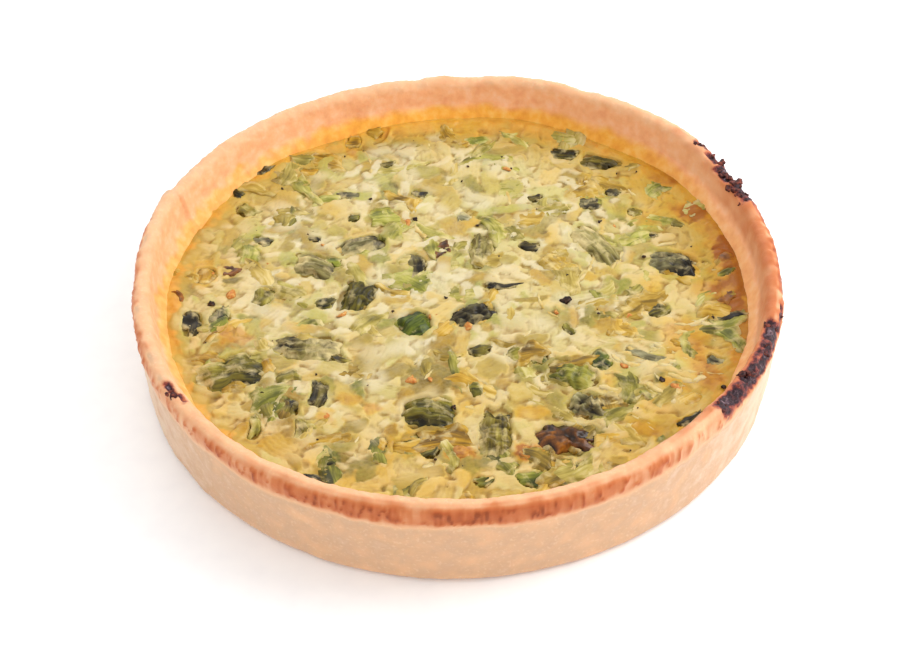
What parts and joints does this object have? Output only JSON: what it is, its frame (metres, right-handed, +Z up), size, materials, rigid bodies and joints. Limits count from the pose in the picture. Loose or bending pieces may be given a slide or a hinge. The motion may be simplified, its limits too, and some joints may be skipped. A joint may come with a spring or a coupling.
{
  "type": "leek quiche",
  "caption": "Round individual quiche: an open shortcrust shell with a low uneven rim, filled with set egg custard and sliced leek, with larger pieces of leek leaf half sunk in its top.",
  "frame": {"origin": "centre of the flat underside", "axes": "+Z up through the middle of the quiche; -Y is the side that the viewer sees in front"},
  "size_m": [0.1197, 0.1209, 0.0205],
  "materials": {
    "shortcrust": "matt baked shortcrust, pale at the wall and browned at the rim",
    "custard": "moist set egg custard, softly glossy",
    "leek_leaf": "cooked dark green leaf, moist",
    "leek_stem": "cooked pale green stem, moist and slightly see-through",
    "browned_leek": "oven-browned leaf"
  },
  "bodies": {
    "root": {"crust": "shortcrust", "filling": "custard", "leek_leaf_broad": "leek_leaf", "leek_leaf_veiled": "leek_leaf", "leek_leaf_twisted": "leek_leaf", "leek_leaf_upright": "leek_leaf", "leek_leaf_curled": "leek_leaf", "leek_leaf_browned": "browned_leek", "leek_stem_ribbed": "leek_stem", "leek_leaf_crinkled": "leek_leaf", "leek_stem_chunk": "leek_stem", "leek_stem_diced": "leek_stem", "leek_leaf_slanting": "leek_leaf", "leek_leaf_grey": "leek_leaf", "leek_leaf_lump": "leek_leaf", "leek_leaf_folded": "leek_leaf", "leek_leaf_far": "leek_leaf", "leek_leaf_split": "leek_stem"}
  },
  "joints": []
}
